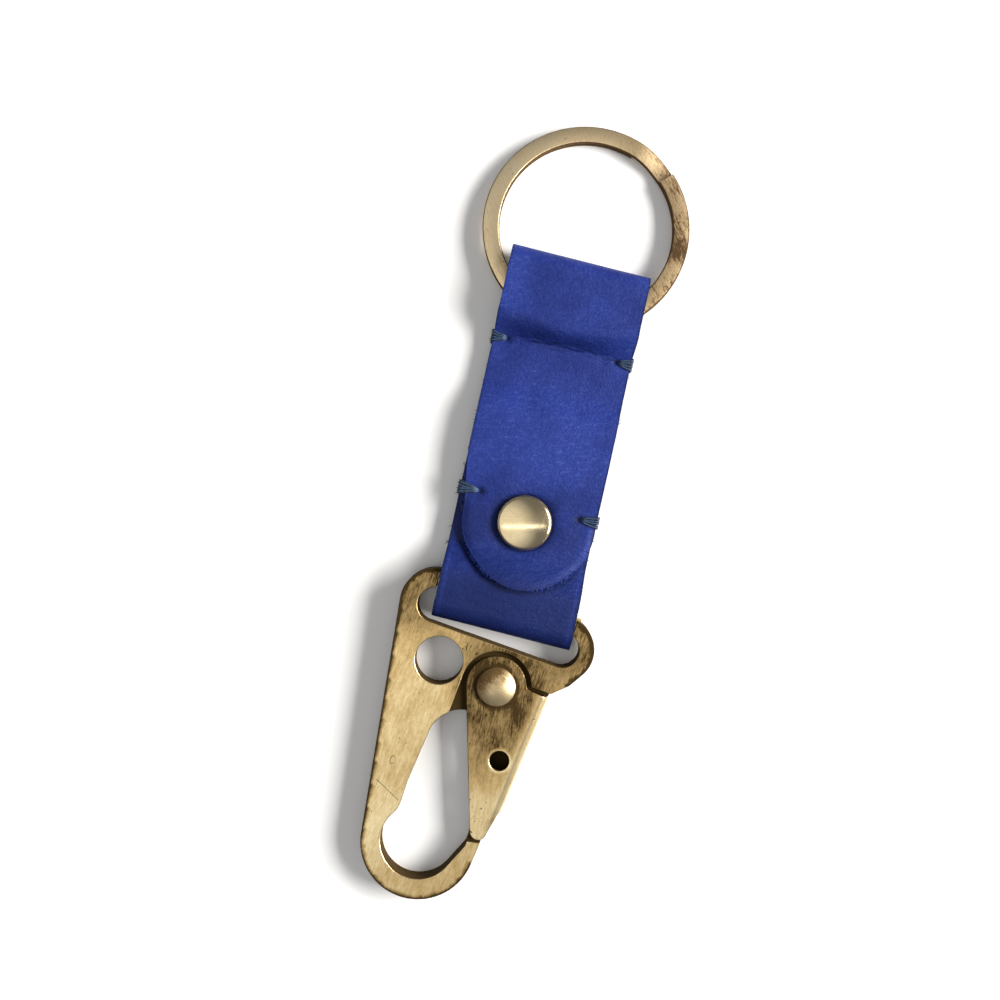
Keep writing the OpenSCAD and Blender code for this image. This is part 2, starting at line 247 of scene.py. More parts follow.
def leather_material():
    """Royal blue leather: fine grain, rubbed paler in places, dark on cut edges, darker towards the
    bottom fold, and darkened with painted shade where the shade attribute says.
    """
    m = Nodes("leather")
    clouds = m.noise(70, 3)
    mottle = m.noise(1500, 6, 0.75)
    grain = m.cells(2300)
    blue = m.ramp(clouds, (0.35, (0.005, 0.015, 0.12)), (0.62, (0.013, 0.03, 0.205)))
    blue = m.mix(m.ramp(mottle, (0.45, 0), (0.8, 0.4)), blue, (0.03, 0.05, 0.26))
    scuffs = m.noise(700, 8, 0.85, m.stretched(0.4, 12))
    where_worn = m.ramp(clouds, (0.42, 0.15), (0.62, 0.9))
    wear_and_shade = m.maths("MULTIPLY", m.ramp(scuffs, (0.52, 0), (0.66, 1)), where_worn)
    blue = m.mix(wear_and_shade, blue, (0.055, 0.085, 0.31))
    rubbed = m.maths("MULTIPLY", m.attribute("shade"), m.ramp(mottle, (0.35, 0), (0.65, -1.6)))
    blue = m.mix(rubbed, blue, (0.07, 0.1, 0.33))
    # Dark blue mixed in by the shade attribute: cut edges, and painted shade in creases, round the
    # cap, in tack holes and below the flap's end.
    blue = m.mix(m.attribute("shade"), blue, (0.001, 0.007, 0.055))
    rough = m.ramp(mottle, (0.3, 0.42), (0.7, 0.6))
    wrinkles = m.noise(330, 5, 0.6, m.stretched(0.3, 4))
    fine = m.raise_by(grain, 0.00008, 0.5)
    normal = m.raise_by(mottle, 0.00016, 0.5, fine)
    normal = m.raise_by(wrinkles, 0.0004, 0.5, normal)
    m.shader.inputs["Specular IOR Level"].default_value = 0.2
    return m.finish(blue, rough, normal)


def thread_material():
    """Dark blue waxed thread with its twist showing."""
    m = Nodes("thread")
    twist = m.noise(2600, 3, 0.6, m.stretched(0.45, 40))
    colour = m.ramp(twist, (0.35, (0.006, 0.014, 0.045)), (0.65, (0.035, 0.075, 0.15)))
    # The shade attribute paints the lower strands darker, as shade.
    colour = m.mix(m.attribute("shade"), colour, (0.002, 0.005, 0.016))
    rough = m.ramp(twist, (0.3, 0.4), (0.7, 0.65))
    return m.finish(colour, rough, m.raise_by(twist, 0.0001, 0.8))


# Colours of each brass, from rubbed bright to patina, also used for painted highlights and painted
# shade: hook and gate, ring, cap and pivot rivet
HOOK_TONES = (0.97, 0.8, 0.47), (0.6, 0.42, 0.18), (0.1, 0.064, 0.024)
RING_TONES = (1.0, 0.88, 0.6), (0.82, 0.63, 0.37), (0.16, 0.1, 0.05)
RIVET_TONES = (0.88, 0.75, 0.5), (0.72, 0.58, 0.34), (0.22, 0.14, 0.06)


def brass_material(name, tones, roughness, brushed, grain=1.0):
    """Antique brass brushed along one direction: rubbed bright in places, pitted, and brown where
    the patina is left. The shade attribute darkens it, for patina and painted shade, and a negative
    shade lightens it, for rubbing and painted highlights."""
    bright, mid, dark = tones
    m = Nodes(name)
    along = m.stretched(9, brushed)
    streaks = m.noise(2200, 5, 0.7, along)
    hairs = m.noise(7000, 3, 0.6, along)
    clouds = m.noise(230, 5, 0.6, m.stretched(1.8, brushed))
    flecks = m.noise(1500, 5, 0.75)
    tone = m.maths("MULTIPLY_ADD", m.attribute("shade"), -0.62, -0.13 - 0.4 * grain)
    tone = m.maths("MULTIPLY_ADD", clouds, 0.75, tone)
    tone = m.maths("MULTIPLY_ADD", streaks, 0.5 * grain, tone)
    tone = m.maths("MULTIPLY_ADD", flecks, 0.32 * grain, tone)
    tone = m.maths("MULTIPLY_ADD", hairs, 0.55, tone)
    colour = m.ramp(tone, (0.0, dark), (0.5, mid), (0.94, bright))
    pits = m.maths("MULTIPLY", m.noise(2600, 2, 0.5), m.noise(330, 3, 0.6))
    pitted = m.ramp(pits, (0.41, 0), (0.45, 0.85 * grain))
    colour = m.mix(pitted, colour, (0.04, 0.022, 0.009))
    rough = m.ramp(tone, (0.0, 0.95), (0.25, roughness + 0.15), (0.7, roughness))
    m.shader.inputs["Metallic"].default_value = 1.0
    normal = m.raise_by(hairs, 0.00002, 0.45 * grain)
    normal = m.raise_by(streaks, 0.00004, 0.4 * grain, normal)
    normal = m.raise_by(flecks, 0.00005, 0.35 * grain, normal)
    return m.finish(colour, rough, normal)


def steel_material():
    """Drawn spring steel, grey and a little uneven."""
    m = Nodes("spring_steel")
    draw = m.noise(900, 4, 0.6)
    colour = m.ramp(draw, (0.3, (0.16, 0.15, 0.14)), (0.7, (0.34, 0.33, 0.32)))
    m.shader.inputs["Metallic"].default_value = 1.0
    return m.finish(colour, m.ramp(draw, (0.3, 0.32), (0.7, 0.5)), m.raise_by(draw, 0.00002))


def table_material():
    """A plain pale table top."""
    m = Nodes("table")
    clouds = m.noise(6, 3)
    colour = m.ramp(clouds, (0.3, (0.87, 0.865, 0.86)), (0.7, (0.91, 0.905, 0.9)))
    rough = m.ramp(clouds, (0.3, 0.5), (0.7, 0.6))
    return m.finish(colour, rough, m.raise_by(clouds, 0.0001, 0.1))


# ---------------------------------------------------------------- mesh helpers


def add_to_scene(name, data):
    obj = bpy.data.objects.new(name, data)
    bpy.context.scene.collection.objects.link(obj)
    return obj


def make(name, points, faces, place, material, slot_name, shade=None):
    """A smooth mesh object from points in a piece's own frame, in millimetres."""
    mesh = bpy.data.meshes.new(name)
    mesh.from_pydata([place @ Vector(p) for p in points], [], faces)
    mesh.validate()
    mesh.materials.append(material)
    obj = add_to_scene(name, mesh)
    mesh.attributes.new("shade", "FLOAT", "POINT")
    if shade is not None:
        tint(obj, shade)
    work = bmesh.new()
    work.from_mesh(mesh)
    bmesh.ops.recalc_face_normals(work, faces=work.faces)
    work.to_mesh(mesh)
    work.free()
    mesh.shade_smooth()
    return obj


def grid_faces(rows, columns, closed=True):
    """Quads between rows of points. A closed grid joins its last column to its first."""
    faces = []
    for i in range(rows - 1):
        for k in range(columns if closed else columns - 1):
            n = (k + 1) % columns
            a, b = i * columns, (i + 1) * columns
            faces.append((a + k, a + n, b + n, b + k))
    return faces


def capped(rows, columns):
    """A closed grid with a face over each end."""
    last = (rows - 1) * columns
    ends = [tuple(range(columns)), tuple(range(last, last + columns))]
    return grid_faces(rows, columns) + ends


def lathe(profile, steps=96):
    """Points and faces of a profile of (radius, height) turned about z, with both ends closed."""
    points = [
        (r * math.cos(TAU * k / steps), r * math.sin(TAU * k / steps), z)
        for r, z in profile
        for k in range(steps)
    ]
    return points, capped(len(profile), steps)


def tube(path, radius, sides):
    """Points and faces of a round tube along a path. The radius is a number or one for each point."""
    path = np.array(path, float)
    radii = np.broadcast_to(radius, len(path))
    along = np.gradient(path, axis=0)
    along /= np.linalg.norm(along, axis=1)[:, None]
    side = np.cross(along[0], (0.3, 0.2, 0.93))
    points = []
    for p, d, r in zip(path, along, radii):
        side = side - d * (side @ d)
        side /= np.linalg.norm(side)
        third = np.cross(d, side)
        for k in range(sides):
            a = TAU * k / sides
            points.append(p + r * (math.cos(a) * side + math.sin(a) * third))
    return points, capped(len(path), sides)


def joined(shapes):
    """Several (points, faces) shapes as one."""
    points, faces = [], []
    for more, its_faces in shapes:
        start = len(points)
        points.extend(more)
        faces.extend(tuple(start + i for i in f) for f in its_faces)
    return points, faces


def rounded(corners):
    """A closed outline from (x, y, radius) corners, with each corner turned into an arc."""
    outline = []
    count = len(corners)
    for i, (x, y, radius) in enumerate(corners):
        here = Vector((x, y))
        back = (Vector(corners[i - 1][:2]) - here).normalized()
        ahead = (Vector(corners[(i + 1) % count][:2]) - here).normalized()
        if radius == 0:
            outline.append(here)
            continue
        half = back.angle(ahead) / 2
        centre = here + (back + ahead).normalized() * radius / math.sin(half)
        start = here + back * radius / math.tan(half) - centre
        turn = math.pi - 2 * half
        sign = 1 if back.cross(ahead) < 0 else -1
        pieces = max(2, math.ceil(math.degrees(turn) / 6))
        for k in range(pieces + 1):
            a = sign * turn * k / pieces
            outline.append(centre + Matrix.Rotation(a, 2) @ start)
    return outline


def circle(centre, radius, steps=72):
    """A closed outline."""
    return [
        Vector(centre) + radius * Vector((math.cos(TAU * k / steps), math.sin(TAU * k / steps)))
        for k in range(steps)
    ]


def finer(outline, spacing, closed=True):
    """An outline with points added so that none are further apart than the spacing."""
    ends = outline[1:] + outline[:1] if closed else outline[1:]
    result = []
    for a, b in zip(outline, ends):
        count = max(1, math.ceil((b - a).length / spacing))
        result += [a.lerp(b, k / count) for k in range(count)]
    return result


def inside(points, outline):
    """Which of an array of points lie inside a closed outline."""
    x, y = points.T
    crossings = np.zeros(len(points), int)
    for a, b in zip(outline, outline[1:] + outline[:1]):
        if a.y != b.y:
            spans = (a.y > y) != (b.y > y)
            crossings += spans & (x < a.x + (y - a.y) * (b.x - a.x) / (b.y - a.y))
    return crossings % 2 == 1


def filled(rim, holes, spacing):
    """Points and triangles of a flat sheet with points all over it, from its rim and its holes."""
    loops = [finer(rim, spacing)] + [finer(hole, spacing) for hole in holes]
    edges, edge_points = [], []
    for loop in loops:
        start = len(edge_points)
        edges += [(start + k, start + (k + 1) % len(loop)) for k in range(len(loop))]
        edge_points += loop
    border = np.array(edge_points)
    low, high = border.min(axis=0), border.max(axis=0)
    xs, ys = (np.arange(low[i] + spacing / 2, high[i], spacing) for i in (0, 1))
    grid = np.stack(np.meshgrid(xs, ys), axis=-1).reshape(-1, 2)

    def on_sheet(points):
        keep = inside(points, loops[0])
        for hole in loops[1:]:
            keep &= ~inside(points, hole)
        return keep

    grid = grid[on_sheet(grid)]
    gaps = np.array([np.hypot(*(border - p).T).min() for p in grid])
    grid = grid[gaps > 0.9 * spacing]
    every = edge_points + [Vector(p) for p in grid]
    points, _, triangles, *_ = geometry.delaunay_2d_cdt(every, edges, [], 1, 1e-5)
    middles = np.array([sum((points[i] for i in t), Vector((0, 0))) / 3 for t in triangles])
    return points, [t for t, keep in zip(triangles, on_sheet(middles)) if keep]


def crisp(obj, angle=35):
    """Keeps edges sharper than an angle when the object is shaded smooth."""
    mesh = obj.data
    work = bmesh.new()
    work.from_mesh(mesh)
    for edge in work.edges:
        edge.smooth = len(edge.link_faces) != 2 or edge.calc_face_angle(0) < math.radians(angle)
    work.to_mesh(mesh)
    work.free()
    return obj


def arc(centre, radius, start, end):
    """Points of an arc between two angles in degrees, in either direction."""
    count = max(2, math.ceil(abs(end - start) / 5))
    angles = [math.radians(start + (end - start) * k / count) for k in range(count + 1)]
    return [Vector(centre) + radius * Vector((math.cos(a), math.sin(a))) for a in angles]


def final_mesh(obj):
    """Replaces an object's mesh with the result of its modifiers."""
    graph = bpy.context.evaluated_depsgraph_get()
    graph.update()
    mesh = bpy.data.meshes.new_from_object(obj.evaluated_get(graph))
    obj.modifiers.clear()
    old = obj.data
    obj.data = mesh
    bpy.data.meshes.remove(old)
    return obj


def thicken(obj, thickness, edge_round, segments=3):
    """Gives a sheet its thickness, half to each side, with rounded edges and flat faces."""
    solid = obj.modifiers.new("thickness", "SOLIDIFY")
    solid.thickness = thickness * MM
    solid.offset = 0
    rim = obj.modifiers.new("edges", "BEVEL")
    rim.width = edge_round * MM
    rim.segments = segments
    rim.limit_method = "ANGLE"
    rim.angle_limit = math.radians(50)
    rim.harden_normals = True
    return final_mesh(obj)


def coordinates(obj, place):
    """An object's points in a piece's own frame, in millimetres."""
    points = np.empty(len(obj.data.vertices) * 3)
    obj.data.vertices.foreach_get("co", points)
    back = np.array(place.inverted())
    return points.reshape(-1, 3) @ back[:3, :3].T + back[:3, 3]


def tint(obj, shade):
    """Sets how dark (positive) or light (negative) the material is at each point, for patina, wear,
    painted shade and painted highlights.
    """
    obj.data.attributes["shade"].data.foreach_set("value", np.asarray(shade, np.float32))


def noise_at(points, scale, seed=0):
    """Smooth noise, from -1 to 1, at each of an array of points."""
    return np.array([noise.noise(Vector(p) * scale + Vector((seed, seed, seed))) for p in points])


# ---------------------------------------------------------------- leather strip


def ring_near_y(x):
    """Where the ring's outer edge runs under the leather, at a distance x from the middle."""
    return RING_Y - np.sqrt(RING_R**2 - (x + 0.5) ** 2)


def front_z(x, y):
    """Height of the middle of the top layer: over the bar, over the tab, flat, then over the ring."""
    z = SECOND_Z + (THIRD_Z - SECOND_Z) * (1 - smooth(TAB_END_Y - 0.3, TAB_END_Y + 6.5, y))
    z += (BAR_TOP_Z + LEATHER_T - THIRD_Z) * (1 - smooth(-25.9, -19.0, y))
    edge = ring_near_y(x)
    z += (RING_TOP_Z - SECOND_Z) * smooth(18.2, 21.65 + 0.4 * (edge - 21.5), y)
    return z


def flap_rows(across, top_y):
    """Rows from the flap's round end up to a straight row, which they slowly turn into."""
    straight = HALF_W * across
    turn = across * math.pi / 2
    end_x = FLAP_X + FLAP_R * np.sin(turn)
    end_y = FLAP_Y - FLAP_R * np.cos(turn)
    for share in np.linspace(1, 0, 56, endpoint=False):
        x = straight + (end_x - straight) * share
        y = top_y + (end_y - top_y) * share
        yield x, y, front_z(x, y)


def fold_rows(straight, end, radius, angles):
    """Rows round a fold at the ring's end (1) or the bar's end (-1) of the strip."""
    middle_y = end * (REACH - LEATHER_T / 2 - radius)
    for a in np.radians(angles):
        y = middle_y + radius * math.cos(a)
        z = BACK_Z + radius + radius * math.sin(a)
        yield straight, np.full_like(straight, y), np.full_like(straight, z)


def strip_rows():
    """Points of the strip's middle surface, row by row, from the flap's end over the front, round
    the ring, down the back, round the bar and up to the end of the tucked tab. Also which rows are
    the front's and which are the back's."""
    across = np.linspace(-1, 1, 57)
    straight = HALF_W * across
    top_y = -3.0
    rows = list(flap_rows(across, top_y))
    places = [*np.arange(top_y, 16, 0.4), *np.arange(16, 20.6, 0.13), *np.arange(20.6, 30.7, 0.4)]
    for y in places:
        rows.append((straight, np.full_like(straight, y), front_z(straight, y)))
    front = slice(len(rows))
    rows.extend(fold_rows(straight, 1, RING_FOLD_R, np.linspace(90, -90, 21)))
    back_start = len(rows) - 1
    for y in np.arange(30.5, -30.5, -0.4):
        rows.append((straight, np.full_like(straight, y), np.full_like(straight, BACK_Z)))
    back = slice(back_start, len(rows) + 1)
    rows.extend(fold_rows(straight, -1, BAR_FOLD_R, np.linspace(-90, -270, 25)))
    for y in np.arange(-30.1, TAB_END_Y, 0.45):
        z = np.minimum(front_z(straight, y) - LEATHER_T - 0.03, BAR_TOP_Z)
        rows.append((straight * 0.995, np.full_like(straight, y), z))
    return np.array([np.stack(row, axis=1) for row in rows]), front, back


def crease_lines(x, y):
    """Fine lines across the strip between the upper tacks, 1 at the deepest."""
    wander = 0.5 * np.cos(x * math.pi / 20) + 0.1 * np.sin(1.3 * x + 1) + 0.07 * np.sin(3.1 * x)
    total = np.zeros_like(x)
    for offset, depth in ((-0.6, 0.5), (0.0, 1.0), (0.45, 0.7), (0.95, 0.6), (1.5, 0.3)):
        line = y - CREASE_Y + 0.2 - offset - wander - 0.06 * np.sin(2.2 * x + 9 * offset)
        total += depth * bump(line, 0.17) * (0.6 + 0.4 * np.sin(0.9 * x + 7 * offset))
    return total * (1 - smooth(8, 10.5, np.abs(x)))


def past_flap(x, y):
    """How far outside the dip round the flap's end a point lies."""
    return np.hypot(x - FLAP_X, np.minimum(y - DIP_Y, 0)) - DIP_R


def skewed(points):
    """The strip isn't quite square: its folds run a little aslant, and the ring's fold reaches a
    little further out."""
    x, y = points[..., 0], points[..., 1]
    up = (0.22 + 0.032 * (HALF_W - x)) * smooth(18, 33, y)
    down = 0.035 * (HALF_W + x) * smooth(16, 32, -y)
    points[..., 1] += up - down
    return points


def soften(points, front, back):
    """The marks of use and sewing: pinched tacks, the rivet's dimple, creases and wrinkles."""
    x, y, z = points[..., 0], points[..., 1], points[..., 2]
    dent = np.zeros_like(z)
    for hole_x, hole_y in TACKS.values():
        side = math.copysign(1, hole_x)
        away = np.hypot(x - hole_x, y - hole_y)
        band = smooth(-0.6, 0.8, side * (x - hole_x)) * bump(y - hole_y, 1.25)
        dent += 0.42 * bump(away, 0.65) + 0.16 * band
        dent += 0.12 * bump(away - 1.9, 1.5)
    rivet = np.hypot(x, y - RIVET_Y)
    dent += 0.3 * bump(np.maximum(rivet - CAP_R, 0), 1.3) + 0.2 * bump(rivet - CAP_R, 0.45)
    dent += 0.25 * crease_lines(x, y)
    dent += 0.3 * smooth(-1.6, -0.2, past_flap(x, y)) * (1 - smooth(-14, -9, y))
    for k, place in enumerate((1.6, 2.9, 4.4, 6.3)):
        line = y - place - 0.5 * np.sin(0.35 * x + 2 * k) - 0.04 * x
        dent += 0.05 * bump(line, 0.3) * (0.5 + 0.5 * np.sin(0.6 * x + 1.3 * k))
    points[front, :, 2] -= dent[front]
    for hole_x, hole_y in TACKS.values():
        side = math.copysign(1, hole_x)
        band = smooth(-0.6, 0.8, side * (x - hole_x)) * bump(y - hole_y, 1.3)
        points[back, :, 2] += (0.3 * band)[back]
    return points


def leather_shade(points, normals):
    """Dark on cut edges, darker towards the bottom, pale where rubbed, and painted shade in creases,
    above the crease, round the cap, in tack holes and below the flap's end.
    """
    x, y, z = points.T
    flap_edge = (y < -2) & (z > 2.9) & (np.abs(normals[:, 2]) < 0.75)
    cut = smooth(0.3, 0.8, np.abs(normals[:, 0])) + 0.8 * flap_edge * (y > -30)
    shade = 0.75 * np.clip(cut, 0, 1)
    shade += 0.45 * (1 - smooth(-14, -5, y)) + 0.35 * (1 - smooth(-30, -19, y))
    # Painted shadow of the flap's end on the strip just below it.
    shade += 0.35 * bump(past_flap(x, y) - 0.4, 0.5) * (y < DIP_Y)
    # Painted shade on the slope above the crease, darker towards the left.
    shade += 0.35 * bump(y - 20.4, 1.5) * smooth(-6, 9, -x)
    # Painted shade in the creases.
    shade += 1.1 * crease_lines(x, y) * (z > 2.5)
    shade += 0.9 * bump(HALF_W - np.abs(x), 0.35)
    # Painted shade in the leather round the cap's rim.
    shade += 0.9 * bump(np.hypot(x, y - RIVET_Y) - CAP_R, 0.35)
    patches = noise_at(points * (1, 0.8, 0), 0.22, 3)
    shade -= 0.35 * smooth(0.0, 0.5, patches) * smooth(-22, -12, y) * (1 - cut)
    shade -= 0.3 * bump(HALF_W - 0.9 - np.abs(x), 0.35) * (1 - cut)
    # Painted shade in each tack hole, with a paler ring round it.
    for hole_x, hole_y in TACKS.values():
        away = np.hypot(x - hole_x, y - hole_y)
        shade += 1.1 * bump(away, 0.55) - 0.25 * bump(away - 2.2, 1.0)
    return np.clip(shade, -0.6, 1)


def leather_strip(material):
    """The one folded strip, with its crease near the ring's end."""
    grid, front, back = strip_rows()
    grid = skewed(soften(grid, front, back))
    flat = grid.reshape(-1, 3)
    flat[:, 2] += 0.06 * noise_at(flat, 0.16) * (flat[:, 2] > 1)
    faces = grid_faces(len(grid), grid.shape[1], closed=False)
    strip = make("leather_strip", flat, faces, STRAP, material, "leather")
    thicken(strip, LEATHER_T, 0.3)
    strip.data.shade_smooth()
    points = coordinates(strip, STRAP)
    normals = np.empty(points.size)
    strip.data.vertices.foreach_get("normal", normals)
    tint(strip, leather_shade(points, normals.reshape(-1, 3)))
    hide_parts("strap", "ring_loop")
    below, above = (STRAP @ Vector((0, BEND_Y + d, LEATHER_T)) for d in (-0.8, 1.6))
    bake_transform(strip)
    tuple(below)
    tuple(above)
    return strip


# ---------------------------------------------------------------- thread tacks and fibres


def front_height(x, y):
    """Height of the leather's upper face."""
    return float(front_z(np.array(x), np.array(y))) + LEATHER_T / 2


def tack_strands(hole_x, hole_y, rng):
    """Strands that fan out from the hole, go over the edge and come back underneath, as points,
    faces and the shade of each point."""
    side = math.copysign(1, hole_x)
    edge = HALF_W + 0.1
    shapes = []
    shade = []
    for k, fan in enumerate(np.linspace(-1.1, 1.1, 9)):
        fan += rng.uniform(-0.07, 0.07)
        lift = 0.15 * (1 - fan * fan) + 0.2 * (k % 2) + rng.uniform(0, 0.05)
        wave = rng.uniform(0, TAU)
        path = []
        for t in np.linspace(0, 1, 14):
            x = hole_x + side * (edge - abs(hole_x)) * t
            spread = fan * (0.12 + 0.88 * t**0.8)
            y = hole_y + spread + 0.06 * math.sin(wave + 5 * t)
            sunk = 1.1 * float(bump(t, 0.17)) + 0.1
            path.append((x, y, front_height(x, y) - 0.14 + lift * min(1, 4 * t) - sunk))
        top = path[-1][2]
        y = path[-1][1]
        path += [(side * (edge + 0.14), y, top - d) for d in (0.3, top / 2, top - 0.45)]
        for t in np.linspace(1, 0, 8):
            x = hole_x + side * (edge - abs(hole_x)) * t
            path.append((x, hole_y + fan * (0.3 + 0.7 * t), 0.19))
        shapes.append(tube(path, 0.14 + 0.03 * (k % 2), 8))
        # The lower strands are painted darker, as shade between the raised ones.
        shade += [0.8 - (k % 2)] * len(shapes[-1][0])
    for _ in range(4):
        start = Vector((side * (edge + 0.1), hole_y + rng.uniform(-1.1, 1.1), 1.2))
        ahead = Vector((side * rng.uniform(0.2, 0.6), rng.uniform(-0.6, 0.6), 0))
        path = [start + ahead * t for t in (0, 0.4, 0.8, 1)]
        shapes.append(tube(path, [0.06, 0.05, 0.04, 0.02], 5))
        shade += [0.0] * len(shapes[-1][0])
    return *joined(shapes), shade


def thread_tacks(material):
    """The four bunches of strands that hold the folds shut."""
    rng = random.Random(5)
    for name, (hole_x, hole_y) in TACKS.items():
        points, faces, shade = tack_strands(hole_x, hole_y, rng)
        tack = make(name + "_thread", points, faces, STRAP, material, "thread", shade)
        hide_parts(name)
        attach(tack, "strap")


def edge_fibres(material):
    """Loose fibres left along the strip's cut edges and round the flap's end."""
    rng = random.Random(11)
    places = [(rng.choice((-1, 1)), rng.uniform(-30, 16)) for _ in range(70)]
    places += [(1, 7 + rng.gauss(0, 0.7)) for _ in range(7)]
    places += [(-1, -6.4 + rng.gauss(0, 0.5)) for _ in range(6)]
    shapes = []
    for side, y in places:
        z = rng.uniform(0.3, 2.5)
        length = rng.uniform(0.15, 0.7)
        lean = rng.uniform(-1, 1)
        start = Vector((side * (HALF_W - 0.1), y, z))
        path = [
            start + Vector((side * length * t, length * lean * t, 0.3 * length * math.sin(3 * t)))
            for t in (0, 0.35, 0.7, 1)
        ]
        shapes.append(tube(path, [0.05, 0.045, 0.035, 0.015], 5))
    for _ in range(90):
        a = math.radians(rng.uniform(195, 345))
        out = Vector((math.cos(a), math.sin(a), 0))
        start = Vector((FLAP_X, FLAP_Y, 0)) + out * (FLAP_R - 0.05)
        start.z = front_height(start.x, start.y) - rng.uniform(0.3, 0.7)
        ahead = out * rng.uniform(0.3, 0.7) + Vector((-out.y, out.x, 0)) * rng.uniform(-0.4, 0.4)
        path = [start + ahead * t - Vector((0, 0, 0.25 * t * t)) for t in (0, 0.35, 0.7, 1)]
        shapes.append(tube(path, [0.09, 0.08, 0.06, 0.02], 5))
    points, faces = joined(shapes)
    pale = np.full(len(points), -1.0)
    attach(make("edge_fibres", points, faces, STRAP, material, "leather", pale), "strap")


# ---------------------------------------------------------------- rivets


def head_profile(radius, foot, height, slope, roll):
    """(radius, height) points from under a head, round its rolled rim and up its crown, which is
    part of a sphere that has the given slope in degrees where it meets the rim."""
    slope = math.radians(slope)
    crown_r = radius - roll * (1 - math.sin(slope))
    ball_r = crown_r / math.sin(slope)
    top = foot + height
    roll_z = top - ball_r * (1 - math.cos(slope)) - roll * math.cos(slope)
    points = [(0.02, foot), (radius - roll, foot)]
    points += [
        (radius - roll + roll * math.cos(a), max(foot, roll_z + roll * math.sin(a)))
        for a in np.linspace(-math.pi / 4, math.pi / 2 - slope, 12)
    ]
    points += [
        (ball_r * math.sin(a), top - ball_r * (1 - math.cos(a)))
        for a in np.linspace(slope, 0.003, 24)[1:]
    ]
    return points


def cap_rivet(material):
    """The domed front cap, and the back cap with the hollow end of its post."""
    points, faces = lathe(head_profile(CAP_R, 4.0, 1.9, 16, 0.7))
    # A little polished all over, with painted shade round the rim where the cap meets the leather.
    polish_and_rim_shade = [-0.2 + 1.3 * float(smooth(4.72, 4.88, math.hypot(x, y))) for x, y, _ in points]
    place = STRAP @ Matrix.Translation((0, RIVET_Y, 0))
    front = make("rivet_front_cap", points, faces, place, material, "pale_brass", polish_and_rim_shade)
    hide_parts("rivet_cap")
    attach(front, "strap")
    flat = [(0.02, 0.55), (3.9, 0.55), (4.3, 0.5), (4.48, 0.3), (4.4, 0.08), (4.1, 0), (1.3, 0)]
    flat += [(1.15, 0.05), (1.1, 0.25), (0.02, 0.25)]
    post = make("rivet_back_cap", *lathe(flat), place, material, "pale_brass")
    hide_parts("rivet_post")
    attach(post, "strap")


def pivot_rivet(material):
    """The gate's rivet: a high dome in front, a low one behind, its right side painted lighter and
    its left painted in shade.
    """
    place = HOOK @ Matrix.Translation((*PIVOT, 0))
    seat = GATE_T / 2
    front = head_profile(3.5, seat, 1.5, 34, 0.35)
    back = [(r, -z) for r, z in head_profile(3.2, seat, 0.85, 24, 0.3)]
    shank = [(1.5, -seat - 0.1), (1.5, seat + 0.1)]
    shapes = [lathe(front), lathe(back), lathe(shank, 48)]
    rivet = make("pivot_rivet", *joined(shapes), place, material, "pale_brass")
    x, y, z = coordinates(rivet, place).T
    # Painted light on the side towards the lamp, painted shade on the other.
    lit_side = smooth(-3.2, 2.4, 0.9 * x - 0.4 * y + 0.9 * noise_at(np.stack((x, y, z), 1), 0.7))
    tint(rivet, 1.0 - 0.9 * lit_side)
    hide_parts("gate_rivet")
    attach(rivet, "hook")


# ---------------------------------------------------------------- split ring


def split_ring(material):
    """One flat wire in two coils, from its lower free end up to its upper one. The lower coil lies
    a hair to one side."""
    half_w, half_t, corner = RING_W / 2, COIL_T / 2, 0.28
    section = []
    for cx, cz, start in ((1, 1, 0), (-1, 1, 90), (-1, -1, 180), (1, -1, 270)):
        for a in np.radians(np.linspace(start, start + 90, 5)):
            x = cx * (half_w - corner) + corner * math.cos(a)
            z = cz * (half_t - corner) + corner * math.sin(a)
            section.append((x, z))
    points = []
    turns = np.radians(np.arange(70.6, 765.4, 2.0))
    for a in turns:
        climb = smooth(406, 430, math.degrees(a))
        rise = (climb - 0.5) * (COIL_T + 0.05)
        sideways = 0.05 * (1 - climb) * math.cos(a - 0.5)
        radius = RING_R - half_w - 0.11 + sideways
        for x, z in section:
            r = radius + x
            points.append((r * math.cos(a), r * math.sin(a), rise + z))
    faces = capped(len(turns), len(section))
    # Painted shade, with patina, along the edges of the wire's section, and painted shade growing on
    # the ring's right side.
    rim = [1.3 * float(smooth(0.005, 0.07, half_t - abs(z))) for _, z in section]
    wear_and_shade = [edge - 0.1 + 0.75 * float(smooth(-0.6, 1, math.cos(a))) for a in turns for edge in rim]
    ring = make("split_ring_wire", points, faces, RING, material, "antique_brass", wear_and_shade)
    crisp(ring)
    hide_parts("split_ring")
    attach(ring, "ring")


# ---------------------------------------------------------------- snap hook


def outer_left():
    """The plate's outer edge from the left lug down the spine and round the bend."""
    return arc((-12.1, 0.2), 6.3, 97.6, 190.1) + arc((-0.6, -41.2), 10.3, 190.1, 357.8)


def outer_right():
    """The plate's outer edge from the shoulder round the right lug."""
    return [Vector((15.2, -5.85)), Vector((15.45, -5.6)), *arc((11.9, 0), 5.9, -30.5, 80)]


def casting_outline():
    """The plate's rim, run round counter-clockwise and in again round the slot and the window."""
    slot_x, slot_r = 12.0, 3.15
    rim = outer_left()
    rim += [Vector(p) for p in ((9.95, -37.55), (7.6, -38.0), (7.6, -38.9))]
    rim += arc((-0.6, -41), 6.8, -22, -202)
    rim += [Vector(p) for p in ((-6.3, -37.4), (-5.95, -36.3), (-5.9, -35.0), (-6, -31.3))]
    rim += arc((0.6, -22), 6, 180, 129)
    rim += arc(PIVOT, 6.3, 180, 18.6)
    rim += [Vector((12.7, -8.1)), Vector((12.95, -8.0))]
    rim += outer_right()
    rim += arc((slot_x, 0), slot_r, 72.8, -90)
    rim += arc((-slot_x, 0), slot_r, -90, -252.8)
    return rim


